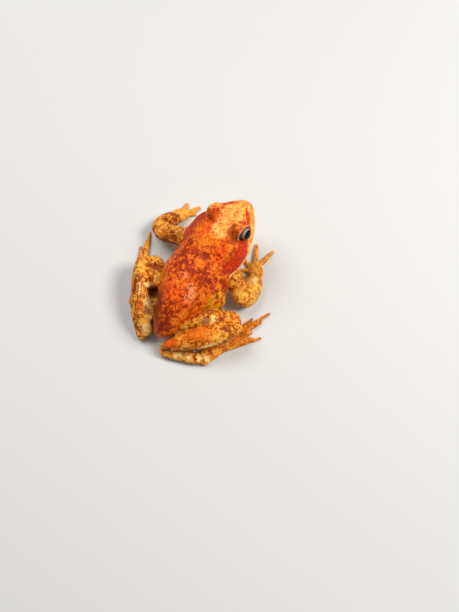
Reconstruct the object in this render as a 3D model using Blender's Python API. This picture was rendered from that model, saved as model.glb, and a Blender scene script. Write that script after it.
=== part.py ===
"""Common frog, a still life-size figure in a sitting pose, for Blender 4.5.

The frog faces -Y, its left side is +X and up is +Z.  The origin is the middle of the belly's resting
patch, on the floor.  Places are written as (left, forward, up) in millimetres, and spot() turns them
into metres in that frame.  The head has a frame of its own, because it is turned and tilted on the neck.

Trunk and head are lofted, blended into one body by a voxel remesh, and then parted with thin cuts.
Each limb is a chain of lofted segments, parted by a plane through every joint.
"""

import math

import bmesh
import bpy
from mathutils import Matrix, Vector

MM = 0.001

# The gap that parts neighbouring pieces, and how far a segment runs past its joint before it is cut.
GAP = 0.3
PAST = 1.8

# Trunk, from the rump to the neck: forward, half width, top of the back, underside.
TRUNK_FROM, TRUNK_TO = -13.4, 29.0
TRUNK = (
    (-13.4, 2.9, 12.2, 5.6),
    (-11.4, 3.9, 14.6, 3.6),
    (-8.0, 5.4, 17.6, 1.4),
    (-3.0, 7.1, 21.0, -0.3),
    (3.0, 9.7, 23.2, -0.8),
    (9.0, 12.5, 24.0, -0.2),
    (15.0, 11.9, 24.6, 2.6),
    (20.0, 11.3, 25.4, 6.2),
    (25.0, 11.0, 25.8, 9.4),
    (29.0, 10.0, 25.4, 12.0),
)
TRUNK_WIDEST = 0.44  # height of the widest level, as a share of the trunk's height
TRUNK_SQUARENESS = 2.15

# Head, in its own frame from the middle between the corners of the mouth, whose plane is the mouth
# line: forward, half width, crown, underside.
HEAD_AT = (0.0, 22.8, 17.6)
HEAD_TURN, HEAD_TILT = 7.0, 13.0  # degrees to the frog's right, and nose up
HEAD_FROM, HEAD_TO = -7.0, 22.2
HEAD = (
    (-7.0, 10.8, 8.6, 8.6),
    (-1.0, 12.6, 9.0, 7.0),
    (4.0, 12.5, 9.1, 5.8),
    (8.0, 11.7, 8.7, 4.9),
    (12.0, 10.2, 8.1, 4.2),
    (15.0, 8.6, 7.4, 3.7),
    (18.0, 6.7, 6.1, 3.1),
    (20.0, 5.3, 5.0, 2.5),
    (22.2, 4.2, 3.6, 1.9),
)
CROWN_SQUARENESS, CHIN_SQUARENESS = 1.7, 2.3

EYE_AT, EYE_RADIUS = (11.0, 6.0, 5.7), 3.1
LID_AT, LID_HALF = (10.8, 5.0, 5.8), (4.2, 3.2, 3.6)
CANTHUS_BACK, CANTHUS_FRONT, CANTHUS_RADIUS = (14.0, 5.6, 6.2), (19.0, 2.8, 4.6), 1.0
EAR_AT, EAR_WAY, EAR_RADIUS, EAR_DEPTH = (3.4, 11.0, 3.4), (0, 1, 0.4), 2.1, 1.6
NECK_CUT = -3.8  # where the head is parted from the trunk, in the head's frame

# Limb joints: left, forward, up.  The two sides differ, as the frog sits a little askew.
ARM_JOINTS = {
    "left": ((8.4, 25.8, 11.0), (24.1, 22.8, 6.2), (23.4, 32.8, 2.4)),
    "right": ((-8.8, 22.4, 11.0), (-19.2, 16.5, 5.6), (-16.9, 28.4, 2.4)),
}
LEG_JOINTS = {
    "left": ((4.0, -8.4, 8.4), (19.6, 10.0, 8.8), (5.4, -14.2, 3.5), (15.5, -5.6, 2.1)),
    "right": ((-4.0, -8.4, 8.4), (-22.0, 6.4, 9.0), (-2.9, -14.6, 3.5), (-17.0, -10.4, 2.1)),
}

# Girth of each limb segment: share of its length, half height, half width.
UPPER_ARM = ((0.0, 3.8, 4.4), (0.5, 3.5, 3.8), (1.0, 3.3, 3.6))
FOREARM = ((0.0, 3.2, 3.5), (0.35, 3.6, 4.1), (0.7, 3.1, 3.9), (1.0, 2.1, 2.9))
THIGH = ((0.0, 4.6, 4.4), (0.35, 5.3, 5.2), (0.7, 4.9, 5.0), (1.0, 3.6, 3.6))
SHANK = ((0.0, 3.4, 3.4), (0.35, 4.4, 4.5), (0.6, 4.1, 4.3), (0.82, 3.2, 3.5), (1.0, 2.5, 2.7))
TARSUS = ((0.0, 2.3, 2.3), (0.5, 2.1, 2.4), (1.0, 1.9, 2.7))
KNEE_HALF, KNEE_LEAN = 2.3, 0.6  # the fold of the knee parts thigh and shank, and leans over the thigh
HEEL_HALF, HEEL_DROP = 2.1, 1.3  # the fold of the heel parts shank and tarsus, which lies lower
FOLD_SHARE = 0.35  # where the fold ends at the rump, between hip and heel
ELBOW_HALF, ELBOW_PAST = 1.0, 2.34
THIGH_BOW, SHANK_BOW = 1.4, 1.0  # how far the flesh bulges away from the fold

# Where the tip of each finger and toe is, from the first to the last, and their girth along them.
FINGERS = {
    "left": ((19.4, 36.2), (17.4, 38.8), (17.8, 42.4), (23.2, 41.2)),
    "right": ((-10.0, 28.4), (-8.6, 32.6), (-9.4, 41.2), (-16.8, 42.2)),
}
TOES = {
    "left": ((19.8, 6.0), (22.6, 11.2), (26.2, 17.6), (28.8, 22.8), (28.4, 15.6)),
    "right": ((-18.0, 2.0), (-20.8, 8.0), (-24.8, 14.4), (-29.2, 19.8), (-31.6, 9.4)),
}
FINGER = ((0.0, 1.25), (0.3, 1.0), (0.75, 0.8), (0.9, 0.7), (1.0, 0.8))
TOE = ((0.0, 1.5), (0.35, 1.2), (0.75, 0.75), (0.92, 0.58), (1.0, 0.66))
TIP_UP, BASE_DOWN = 0.4, 0.35  # height of the tips, and how far the bases sink to stand on flats
FINGER_SPREAD, FINGER_ARCH, FINGER_ROOT, FINGER_MIDDLE = 1.15, 0.4, 1.6, 1.7
TOE_SPREAD, TOE_ARCH, TOE_ROOT, TOE_MIDDLE = 0.9, 0.5, -0.4, 2.2
PALM, PALM_LENGTH = ((0.0, 2.0, 2.7), (0.5, 1.5, 2.8), (1.0, 1.1, 2.5)), 5.4
SOLE, SOLE_LENGTH = ((0.0, 1.8, 2.7), (0.5, 1.4, 2.7), (1.0, 1.0, 2.2)), 12.0
PALM_UP = 1.0  # height of the far end of palm and sole
WEB_THICKNESS, WEB_REACH, WEB_HOLLOW = 0.7, 0.72, 0.9
WEB_UP, WEB_DROP = 1.2, 0.5  # height of the web at its root, and how much lower its free edge lies

TORSO_VOXEL, TORSO_TRIANGLES, TORSO_SMOOTHING, CUTTER_TRIANGLES = 0.7, 2500, 6, 1000
DIGIT_VOXEL, HAND_TRIANGLES, FOOT_TRIANGLES, DIGIT_SMOOTHING = 0.3, 440, 600, 3

MATERIALS = {
    "back_skin": ((0.52, 0.13, 0.03), 0.45),
    "head_skin": ((0.60, 0.24, 0.08), 0.45),
    "throat_skin": ((0.62, 0.40, 0.20), 0.5),
    "leg_skin": ((0.56, 0.22, 0.05), 0.45),
    "arm_skin": ((0.62, 0.28, 0.07), 0.45),
    "eye": ((0.02, 0.015, 0.01), 0.08),
    "eardrum": ((0.30, 0.07, 0.02), 0.5),
}


def spot(place):
    """A (left, forward, up) place in millimetres as a point of the model, in metres."""
    left, forward, up = place
    return Vector((left, -forward, up)) * MM


def head_spot(place):
    """A (forward, left, up) place in the head's own frame as a point of the model."""
    forward, left, up = place
    tilt = Matrix.Rotation(math.radians(-HEAD_TILT), 4, "X")
    turn = Matrix.Rotation(math.radians(-HEAD_TURN), 4, "Z")
    return spot(HEAD_AT) + turn @ tilt @ Vector((left, -forward, up)) * MM


def head_way(place):
    """A direction in the head's own frame, as a direction of the model."""
    return (head_spot(place) - head_spot((0, 0, 0))).normalized()


def between(table, at):
    """The values of a table of (station, value, ...) rows at a station, on a smooth curve."""
    at = min(max(at, table[0][0]), table[-1][0])
    index = max(i for i, row in enumerate(table[:-1]) if row[0] <= at)
    low, high = table[index], table[index + 1]
    before, after = table[max(index - 1, 0)], table[min(index + 2, len(table) - 1)]
    span = high[0] - low[0]
    t = (at - low[0]) / span
    values = []
    for i in range(1, len(low)):
        slope_in = (high[i] - before[i]) / (high[0] - before[0]) * span
        slope_out = (after[i] - low[i]) / (after[0] - low[0]) * span
        values.append(
            (2 * t**3 - 3 * t**2 + 1) * low[i]
            + (t**3 - 2 * t**2 + t) * slope_in
            + (3 * t**2 - 2 * t**3) * high[i]
            + (t**3 - t**2) * slope_out
        )
    return values


def rounded(around, squareness):
    """The across and up shares of a superellipse at an angle."""
    across, up = math.cos(around), math.sin(around)
    power = 2 / squareness
    return math.copysign(abs(across) ** power, across), math.copysign(abs(up) ** power, up)


def new_object(name, bm):
    mesh = bpy.data.meshes.new(name)
    bmesh.ops.recalc_face_normals(bm, faces=bm.faces)
    bm.to_mesh(mesh)
    bm.free()
    piece = bpy.data.objects.new(name, mesh)
    bpy.context.scene.collection.objects.link(piece)
    return piece


def loft(name, section, sides=24, rings=20, bluntness=3.0):
    """A closed body: section(share of its length, angle around, fullness) places each point."""
    bm = bmesh.new()
    bmesh.ops.create_uvsphere(bm, u_segments=sides, v_segments=rings, radius=1)
    for vert in bm.verts:
        along = max(-1.0, min(1.0, vert.co.z))
        around = math.atan2(vert.co.y, vert.co.x)
        fullness = (1 - abs(along) ** bluntness) ** (1 / bluntness)
        vert.co = section((1 + along) / 2, around, fullness)
    return new_object(name, bm)


def trunk_section(share, around, fullness):
    forward = TRUNK_FROM + (TRUNK_TO - TRUNK_FROM) * share
    half_width, back, belly = between(TRUNK, forward)
    middle = belly + TRUNK_WIDEST * (back - belly)
    across, up = rounded(around, TRUNK_SQUARENESS)
    rise = back - middle if up > 0 else middle - belly
    return spot((half_width * across * fullness, forward, middle + rise * up * fullness))


def head_section(share, around, fullness):
    forward = HEAD_FROM + (HEAD_TO - HEAD_FROM) * share
    half_width, crown, chin = between(HEAD, forward)
    above = math.sin(around) > 0
    across, up = rounded(around, CROWN_SQUARENESS if above else CHIN_SQUARENESS)
    rise = crown if above else chin
    return head_spot((forward, half_width * across * fullness, rise * up * fullness))


def segment(name, start, end, girth, bow=Vector(), sides=12, rings=11, bluntness=3.4):
    """A limb segment from start to end.  Its girth is (share of length, half height, half width)."""
    along = (end - start).normalized()
    side = along.cross(Vector((0, 0, 1))).normalized()
    rise = side.cross(along)

    def section(share, around, fullness):
        height, width = between(girth, share)
        centre = start.lerp(end, share) + bow * 4 * share * (1 - share)
        out = side * width * math.cos(around) + rise * height * math.sin(around)
        return centre + out * MM * fullness

    return loft(name, section, sides, rings, bluntness)


def ball(name, centre, half, segments=24, rings=16):
    """An ellipsoid whose three half sizes run forward, left and up, in the head's frame."""
    bm = bmesh.new()
    bmesh.ops.create_uvsphere(bm, u_segments=segments, v_segments=rings, radius=1)
    for vert in bm.verts:
        vert.co = head_spot([c + h * v for c, h, v in zip(centre, half, vert.co)])
    return new_object(name, bm)


def disc(name, middle, outward, radius, depth):
    """A disc that starts at a depth below a point of the skin and runs out past it."""
    bm = bmesh.new()
    length = (depth + 4) * MM
    bmesh.ops.create_cone(
        bm, cap_ends=True, segments=18, radius1=radius * MM, radius2=radius * MM, depth=length
    )
    turn = Vector((0, 0, 1)).rotation_difference(outward).to_matrix().to_4x4()
    shift = Matrix.Translation(middle - outward * (depth * MM - length / 2))
    bmesh.ops.transform(bm, matrix=shift @ turn, verts=bm.verts)
    return new_object(name, bm)


def settled(piece):
    """The object with its modifiers applied."""
    graph = bpy.context.evaluated_depsgraph_get()
    graph.update()
    mesh = bpy.data.meshes.new_from_object(piece.evaluated_get(graph))
    piece.modifiers.clear()
    piece.data = mesh
    return piece


def joined(name, pieces):
    """Overlapping pieces put into one mesh, for a remesh to blend."""
    bm = bmesh.new()
    for piece in pieces:
        bm.from_mesh(piece.data)
        bpy.data.objects.remove(piece)
    return new_object(name, bm)


def blended(name, pieces, voxel, triangles, smoothing):
    """Overlapping pieces made one closed body with soft joins, and few faces."""
    body = joined(name, pieces)
    remesh = body.modifiers.new("blend", "REMESH")
    remesh.mode = "VOXEL"
    remesh.voxel_size = voxel * MM
    smooth = body.modifiers.new("soften", "SMOOTH")
    smooth.factor = 0.5
    smooth.iterations = smoothing
    return lightened(settled(body), triangles)


def lightened(piece, triangles):
    """The piece with about this many triangles."""
    faces = sum(len(face.vertices) - 2 for face in piece.data.polygons)
    lighten = piece.modifiers.new("lighten", "DECIMATE")
    lighten.ratio = triangles / faces
    return settled(piece)


def boolean(piece, cutter, operation="DIFFERENCE"):
    cut = piece.modifiers.new("cut", "BOOLEAN")
    cut.operation = operation
    cut.solver = "EXACT"
    cut.object = cutter
    return settled(piece)


def copy_of(piece, name):
    twin = bpy.data.objects.new(name, piece.data.copy())
    bpy.context.scene.collection.objects.link(twin)
    return twin


def clear_of(pieces, neighbour):
    """Cuts pieces back where they run into a neighbour, leaving the gap."""
    cutter = copy_of(neighbour, "cutter")
    push = cutter.modifiers.new("swell", "DISPLACE")
    push.mid_level = 0
    push.strength = GAP * MM
    settled(cutter)
    for piece in pieces:
        boolean(piece, cutter)
    bpy.data.objects.remove(cutter)


def trimmed(piece, point, normal):
    """Cuts away what lies beyond a plane, and closes the cut."""
    bm = bmesh.new()
    bm.from_mesh(piece.data)
    everything = bm.verts[:] + bm.edges[:] + bm.faces[:]
    cut = bmesh.ops.bisect_plane(
        bm, geom=everything, dist=1e-7, plane_co=point, plane_no=normal, clear_outer=True
    )["geom_cut"]
    edges = [item for item in cut if isinstance(item, bmesh.types.BMEdge)]
    bmesh.ops.triangle_fill(bm, use_beauty=True, use_dissolve=False, edges=edges)
    bmesh.ops.triangulate(bm, faces=bm.faces)
    bmesh.ops.recalc_face_normals(bm, faces=bm.faces)
    bm.to_mesh(piece.data)
    bm.free()
    return piece


def parted(near, far, point, normal):
    """Trims two pieces on the two sides of a plane, with the gap between them."""
    half_gap = normal * (GAP / 2 * MM)
    trimmed(near, point - half_gap, normal)
    trimmed(far, point + half_gap, -normal)


def stand(piece):
    """The piece with a flat underside on the floor."""
    return trimmed(piece, Vector((0, 0, 0)), Vector((0, 0, -1)))


def make_torso():
    parts = [
        loft("trunk_form", trunk_section, 32, 30, 4),
        loft("head_form", head_section, 32, 26, 4),
    ]
    for side in (1, -1):
        lid = (LID_AT[0], side * LID_AT[1], LID_AT[2])
        parts.append(ball("lid_form", lid, LID_HALF))
        back = head_spot((CANTHUS_BACK[0], side * CANTHUS_BACK[1], CANTHUS_BACK[2]))
        front = head_spot((CANTHUS_FRONT[0], side * CANTHUS_FRONT[1], CANTHUS_FRONT[2]))
        ridge = ((0, CANTHUS_RADIUS, CANTHUS_RADIUS), (1, CANTHUS_RADIUS, CANTHUS_RADIUS))
        parts.append(segment("canthus_form", back, front, ridge, sides=10, rings=8))
    return stand(blended("trunk", parts, TORSO_VOXEL, TORSO_TRIANGLES, TORSO_SMOOTHING))


def make_eye_and_ear(head, side, sign):
    eye_centre = (EYE_AT[0], sign * EYE_AT[1], EYE_AT[2])
    socket = ball("socket", eye_centre, [EYE_RADIUS + GAP] * 3, segments=16, rings=10)
    boolean(head, socket)
    ball(f"eye_{side}", eye_centre, [EYE_RADIUS] * 3, segments=16, rings=10)

    centre = head_spot((EAR_AT[0], sign * EAR_AT[1], EAR_AT[2]))
    outward = head_way((EAR_WAY[0], sign * EAR_WAY[1], EAR_WAY[2]))
    ear = disc(f"ear_{side}", centre, outward, EAR_RADIUS, EAR_DEPTH)
    hole = disc("ear_hole", centre - outward * GAP * MM, outward, EAR_RADIUS + GAP, EAR_DEPTH)
    boolean(ear, head, "INTERSECT")
    boolean(head, hole)
    bpy.data.objects.remove(socket)
    bpy.data.objects.remove(hole)


def make_head(trunk):
    """Parts the torso into head, lower jaw and trunk, and sets the eyes and ears in the head."""
    head = copy_of(trunk, "head")
    parted(trunk, head, head_spot((NECK_CUT, 0, 0)), head_way((1, 0, 0)))
    jaw = copy_of(head, "lower_jaw")
    parted(jaw, head, head_spot((0, 0, 0)), head_way((0, 0, 1)))
    for side, sign in (("left", 1), ("right", -1)):
        make_eye_and_ear(head, side, sign)


def digit(base, tip, girth, arch):
    """A finger or toe, a little arched."""
    table = [(share, radius, radius) for share, radius in girth]
    bow = Vector((0, 0, arch * MM))
    return segment("digit", base, tip, table, bow, sides=10, rings=14, bluntness=6)


def fan(root, heading, sign, tips, spread, middle, girth, arch):
    """Digits that start side by side at a wrist or ankle, each with its own tip."""
    across = Vector((0, 0, 1)).cross(heading).normalized() * -sign
    bases, digits = [], []
    for index, tip in enumerate(tips):
        base = root + across * (index - middle) * spread * MM
        base.z = (girth[0][1] - BASE_DOWN) * MM
        bases.append(base)
        digits.append(digit(base, tip, girth, arch))
    return bases, digits


def pad(start, heading, length, girth):
    """The palm or the sole, from a wrist or ankle forward."""
    end = start + heading * length * MM
    end.z = PALM_UP * MM
    return segment("pad", start - heading * MM, end, girth, rings=10)


def make_hand(side, sign, elbow, wrist):
    tips = [spot((*place, TIP_UP)) for place in FINGERS[side]]
    heading = (tips[2] - wrist).normalized()
    root = wrist + heading * FINGER_ROOT * MM
    _, parts = fan(root, heading, sign, tips, FINGER_SPREAD, FINGER_MIDDLE, FINGER, FINGER_ARCH)
    parts.append(pad(wrist, heading, PALM_LENGTH, PALM))
    hand = blended(f"hand_{side}", parts, DIGIT_VOXEL, HAND_TRIANGLES, DIGIT_SMOOTHING)
    way = ((wrist - elbow).normalized() + heading).normalized()
    parted(bpy.data.objects[f"forearm_{side}"], hand, wrist, way)
    stand(hand)


def make_arm(side, sign):
    shoulder, elbow, wrist = (spot(place) for place in ARM_JOINTS[side])
    down, out = (elbow - shoulder).normalized(), (wrist - elbow).normalized()
    fold = (out + down).normalized()
    apart = fold * ELBOW_HALF * MM
    upper = segment(f"upper_arm_{side}", shoulder, elbow - apart + down * PAST * MM, UPPER_ARM)
    forearm = segment(f"forearm_{side}", elbow + apart - out * ELBOW_PAST * MM, wrist + out * MM, FOREARM)
    parted(upper, forearm, elbow, fold)
    make_hand(side, sign, elbow, wrist)
    return upper


def web(first, second, first_base, second_base):
    """The skin between two toes, a thin sheet with a hollow free edge."""
    bm = bmesh.new()
    bmesh.ops.create_grid(bm, x_segments=6, y_segments=6, size=1)
    for vert in bm.verts:
        over, out = (vert.co.x + 1) / 2, (vert.co.y + 1) / 2
        reach = WEB_REACH * (1 - WEB_HOLLOW * over * (1 - over)) * out
        point = first_base.lerp(first, reach).lerp(second_base.lerp(second, reach), over)
        point.z = (WEB_UP - WEB_DROP * reach) * MM
        vert.co = point
    sheet = new_object("web", bm)
    skin = sheet.modifiers.new("thickness", "SOLIDIFY")
    skin.thickness = WEB_THICKNESS * MM
    skin.offset = 0
    return settled(sheet)


def make_foot(side, sign, heel, ankle):
    tips = [spot((*place, TIP_UP)) for place in TOES[side]]
    heading = (tips[3] - ankle).normalized()
    root = ankle + heading * TOE_ROOT * MM
    bases, parts = fan(root, heading, sign, tips, TOE_SPREAD, TOE_MIDDLE, TOE, TOE_ARCH)
    parts.append(pad(ankle, heading, SOLE_LENGTH, SOLE))
    for first, second, first_base, second_base in zip(tips, tips[1:], bases, bases[1:]):
        parts.append(web(first, second, first_base, second_base))
    foot = blended(f"foot_{side}", parts, DIGIT_VOXEL, FOOT_TRIANGLES, DIGIT_SMOOTHING)
    way = ((ankle - heel).normalized() + heading).normalized()
    parted(bpy.data.objects[f"tarsus_{side}"], foot, ankle, way)
    return stand(foot)


def make_leg(side, sign):
    hip, knee, heel, ankle = (spot(place) for place in LEG_JOINTS[side])
    out, back, on = (knee - hip).normalized(), (heel - knee).normalized(), (ankle - heel).normalized()
    along = knee - hip.lerp(heel, FOLD_SHARE)
    fold = Vector((-along.y, along.x, 0)).normalized() * sign
    fold = (fold + Vector((0, 0, KNEE_LEAN))).normalized()
    turn = Vector((back.x + on.x, back.y + on.y, 0)).normalized()
    turn = (turn - Vector((0, 0, HEEL_DROP))).normalized()
    knee_half, heel_half = fold * KNEE_HALF * MM, turn * HEEL_HALF * MM

    thigh_end = knee - knee_half + out * PAST * MM
    thigh = segment(f"thigh_{side}", hip, thigh_end, THIGH, bow=fold * -THIGH_BOW * MM)
    shank_start, shank_end = knee + knee_half - back * PAST * MM, heel - heel_half + back * PAST * MM
    shank = segment(f"shank_{side}", shank_start, shank_end, SHANK, bow=fold * SHANK_BOW * MM)
    tarsus_start = heel + heel_half - on * PAST * MM
    tarsus = segment(f"tarsus_{side}", tarsus_start, ankle + on * MM, TARSUS)
    parted(thigh, shank, knee, fold)
    parted(shank, tarsus, heel, turn)

    foot = make_foot(side, sign, heel, ankle)
    stand(tarsus)
    clear_of([foot, tarsus], thigh)
    clear_of([foot], shank)
    return thigh, shank, tarsus


def paint(name, slot):
    piece = bpy.data.objects[name]
    material = bpy.data.materials.get(slot)
    if material is None:
        material = bpy.data.materials.new(slot)
        material.use_nodes = True
        colour, roughness = MATERIALS[slot]
        shader = material.node_tree.nodes["Principled BSDF"]
        shader.inputs["Base Color"].default_value = (*colour, 1)
        shader.inputs["Roughness"].default_value = roughness
        shader.inputs["Metallic"].default_value = 0
    piece.data.materials.clear()
    piece.data.materials.append(material)
    piece.data.shade_smooth()
    piece.data.set_sharp_from_angle(angle=math.radians(40))


def main():
    for item in list(bpy.data.objects):
        bpy.data.objects.remove(item)
    trunk = make_torso()
    whole = lightened(copy_of(trunk, "whole"), CUTTER_TRIANGLES)
    make_head(trunk)
    for side, sign in (("left", 1), ("right", -1)):
        upper = make_arm(side, sign)
        thigh, shank, tarsus = make_leg(side, sign)
        clear_of([upper, thigh, shank, tarsus], whole)
    bpy.data.objects.remove(whole)
    slots = {
        "trunk": "back_skin",
        "head": "head_skin",
        "lower_jaw": "throat_skin",
        "eye": "eye",
        "ear": "eardrum",
        "upper_arm": "arm_skin",
        "forearm": "arm_skin",
        "hand": "arm_skin",
        "thigh": "leg_skin",
        "shank": "leg_skin",
        "tarsus": "leg_skin",
        "foot": "leg_skin",
    }
    for name, slot in slots.items():
        for full in (name, f"{name}_left", f"{name}_right"):
            if full in bpy.data.objects:
                paint(full, slot)


main()
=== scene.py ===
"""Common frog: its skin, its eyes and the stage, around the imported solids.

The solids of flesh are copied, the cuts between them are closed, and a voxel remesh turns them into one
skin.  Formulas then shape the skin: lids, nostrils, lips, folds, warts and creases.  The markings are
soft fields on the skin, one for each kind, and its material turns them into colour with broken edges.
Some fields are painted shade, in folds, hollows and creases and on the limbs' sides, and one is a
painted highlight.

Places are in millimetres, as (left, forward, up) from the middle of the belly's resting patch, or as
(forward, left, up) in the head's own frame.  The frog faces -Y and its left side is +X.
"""

import math

import bmesh
import bpy
import numpy as np
from bpy.props import FloatProperty, FloatVectorProperty, IntProperty, PointerProperty
from mathutils import Euler, Matrix, Vector, noise
from mathutils.bvhtree import BVHTree


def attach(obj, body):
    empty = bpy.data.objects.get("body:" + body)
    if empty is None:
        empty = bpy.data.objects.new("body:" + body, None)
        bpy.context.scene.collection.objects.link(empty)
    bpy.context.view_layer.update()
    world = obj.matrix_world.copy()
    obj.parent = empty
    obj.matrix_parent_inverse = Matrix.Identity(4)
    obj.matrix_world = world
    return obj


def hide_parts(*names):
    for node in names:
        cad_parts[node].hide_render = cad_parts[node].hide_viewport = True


bl_info = {
    "name": "Common frog",
    "version": (1, 0, 0),
    "blender": (4, 5, 0),
    "location": "View3D > Sidebar > Frog",
    "description": "Builds the skin, the eyes and the stage of a common frog around its solids",
    "category": "Object",
}

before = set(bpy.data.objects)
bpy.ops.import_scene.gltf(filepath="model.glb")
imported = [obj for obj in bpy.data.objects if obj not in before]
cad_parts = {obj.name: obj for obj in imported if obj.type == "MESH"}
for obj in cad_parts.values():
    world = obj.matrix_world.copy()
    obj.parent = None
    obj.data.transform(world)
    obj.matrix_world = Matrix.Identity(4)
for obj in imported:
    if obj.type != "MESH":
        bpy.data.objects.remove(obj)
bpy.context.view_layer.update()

MM = 0.001
MOST_TRIANGLES = 200000  # in one piece
SIDES = (("left", 1), ("right", -1))
BOTH, LEFT, RIGHT = (1, -1), (1,), (-1,)

# The head's frame: its place, its turn to the frog's right and its tilt, nose up, in degrees.
HEAD_AT, HEAD_TURN, HEAD_TILT = (0.0, 22.8, 17.6), 7.0, 13.0
EYE_AT, EYE_RADIUS = (11.0, 6.0, 5.7), 3.1
EAR_AT, EAR_RADIUS = (3.4, 11.0, 3.4), 2.1
NOSTRIL_AT = (19.6, 1.6, 4.4)

# The joints of the limbs, from the body out, as (left, forward, up).  A segment lies between each two.
ARM, LEG = ("upper_arm", "forearm"), ("thigh", "shank", "tarsus", "foot")
JOINTS = {
    ("left", ARM): ((8.4, 25.8, 11), (24.1, 22.8, 6.2), (23.4, 32.8, 2.4)),
    ("right", ARM): ((-8.8, 22.4, 11), (-19.2, 16.5, 5.6), (-16.9, 28.4, 2.4)),
    ("left", LEG): (
        (4, -8.4, 8.4), (19.6, 10, 8.8), (5.4, -14.2, 3.5), (15.5, -5.6, 2.1), (28.8, 22.8, 0.4)
    ),
    ("right", LEG): (
        (-4, -8.4, 8.4), (-22, 6.4, 9), (-2.9, -14.6, 3.5), (-17, -10.4, 2.1), (-29.2, 19.8, 0.4)
    ),
}  # fmt: skip
LIMBS = {
    f"{kind}_{side}": ends
    for (side, kinds), joints in JOINTS.items()
    for kind, ends in zip(kinds, zip(joints, joints[1:]))
}
LIMB_KINDS = (*ARM, *LEG, "hand")
FLESH = [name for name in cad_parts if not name.startswith("eye_")]


# ---- Small tools ----


def eased(low, high, value):
    """0 below low, 1 above high, and an even curve between them.  low may be the larger one."""
    t = np.clip((value - low) / (high - low), 0, 1)
    return t * t * (3 - 2 * t)


def hill(distance, width):
    return np.exp(-((distance / width) ** 2))


def turned(degrees):
    """Angles brought between -180 and 180."""
    return (degrees + 180) % 360 - 180


def vectors_of(items, name):
    """A vector of every item, as (left, forward, up)."""
    flat = np.empty(len(items) * 3, np.float32)
    items.foreach_get(name, flat)
    return flat.reshape(-1, 3).astype(np.float64) * (1, -1, 1)


def places_of(mesh):
    """Every vertex as (left, forward, up) in millimetres."""
    return vectors_of(mesh.vertices, "co") / MM


def normals_of(mesh):
    return vectors_of(mesh.vertex_normals, "vector")


def put_places(mesh, places):
    mesh.vertices.foreach_set("co", (places * (1, -1, 1) * MM).astype(np.float32).ravel())
    mesh.update()


def head_axes():
    """The head's forward, left and up directions, as (left, forward, up) rows."""
    turn, tilt = math.radians(HEAD_TURN), math.radians(HEAD_TILT)
    forward = (-math.sin(turn) * math.cos(tilt), math.cos(turn) * math.cos(tilt), math.sin(tilt))
    left = (math.cos(turn), math.sin(turn), 0.0)
    up = (math.sin(turn) * math.sin(tilt), -math.cos(turn) * math.sin(tilt), math.cos(tilt))
    return np.array((forward, left, up))


def in_head(places):
    """Places as (forward, left, up) in the head's own frame."""
    return (places - HEAD_AT) @ head_axes().T


def from_head(places):
    return np.asarray(places) @ head_axes() + HEAD_AT


def mirrored(places, sign):
    """Places of the frog's left side, in the head's frame, on the side that has this sign."""
    return np.array(places) * (1, sign, 1)


def as_points(places):
    """(left, forward, up) in millimetres as points of the scene, in metres."""
    return [Vector((left, -forward, up)) * MM for left, forward, up in np.atleast_2d(places)]


def to_segment(places, start, end):
    """The distance of each place from a straight line, and its share along it."""
    start, end = np.asarray(start, float), np.asarray(end, float)
    along = end - start
    share = np.clip((places - start) @ along / max(along @ along, 1e-9), 0, 1)
    return np.linalg.norm(places - start - share[:, None] * along, axis=1), share


def to_path(places, path):
    """The distance of each place from a path of points, and its share along the path."""
    best, where = np.full(len(places), 1e9), np.zeros(len(places))
    for index, (start, end) in enumerate(zip(path, path[1:])):
        distance, share = to_segment(places, start, end)
        closer = distance < best
        best[closer] = distance[closer]
        where[closer] = (index + share[closer]) / (len(path) - 1)
    return best, where


def on_surface(path, places):
    """A path moved onto the nearest of the skin's places, with more points along it."""
    path = np.asarray(path, float)
    fine = [a + (b - a) * t for a, b in zip(path, path[1:]) for t in (0, 0.25, 0.5, 0.75)]
    return np.array([places[np.argmin(((places - point) ** 2).sum(1))] for point in (*fine, path[-1])])


def round_limb(places, name):
    """Where places are on a limb segment: share along it, angle from its top, distance from its middle.

    The angle is in degrees, and it grows towards the outer side of the folded limb.  The segment's own
    length comes last."""
    start, end = (np.array(joint) for joint in LIMBS[name])
    along = end - start
    length = np.linalg.norm(along)
    along = along / length
    side = np.cross((0, 0, 1), along)
    side /= np.linalg.norm(side)
    rise = np.cross(along, side)
    out = places - start
    angle = np.degrees(np.arctan2(out @ side, out @ rise))
    return out @ along / length, angle, np.hypot(out @ side, out @ rise), length


def nodes_like(*starts):
    """For each solid of flesh, 1 where its name starts so and 0 elsewhere."""
    return np.array([name.startswith(starts) for name in FLESH], float)


def with_modifiers(piece):
    """The object with its modifiers applied."""
    graph = bpy.context.evaluated_depsgraph_get()
    graph.update()
    mesh = bpy.data.meshes.new_from_object(piece.evaluated_get(graph))
    piece.modifiers.clear()
    old, piece.data = piece.data, mesh
    bpy.data.meshes.remove(old)
    return piece


def new_object(name, data):
    thing = bpy.data.objects.new(name, data)
    bpy.context.scene.collection.objects.link(thing)
    return thing


def new_piece(name, bm):
    mesh = bpy.data.meshes.new(name)
    bm.to_mesh(mesh)
    bm.free()
    return new_object(name, mesh)


def triangles_in(mesh):
    return sum(len(face.vertices) - 2 for face in mesh.polygons)


def finished(piece, material, slot, *nodes):
    piece.data.materials.clear()
    piece.data.materials.append(material)
    piece.data.shade_smooth()
    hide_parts(*nodes)
    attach(piece, "root")


# ---- Shader building ----


class Value:
    """What a node puts out.  Sums, differences and products of values are Math nodes."""

    def __init__(self, shader, socket):
        self.shader, self.socket = shader, socket

    def __add__(self, other):
        return self.shader.maths("ADD", self, other)

    def __sub__(self, other):
        return self.shader.maths("SUBTRACT", self, other)

    def __mul__(self, other):
        return self.shader.maths("MULTIPLY", self, other)


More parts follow.
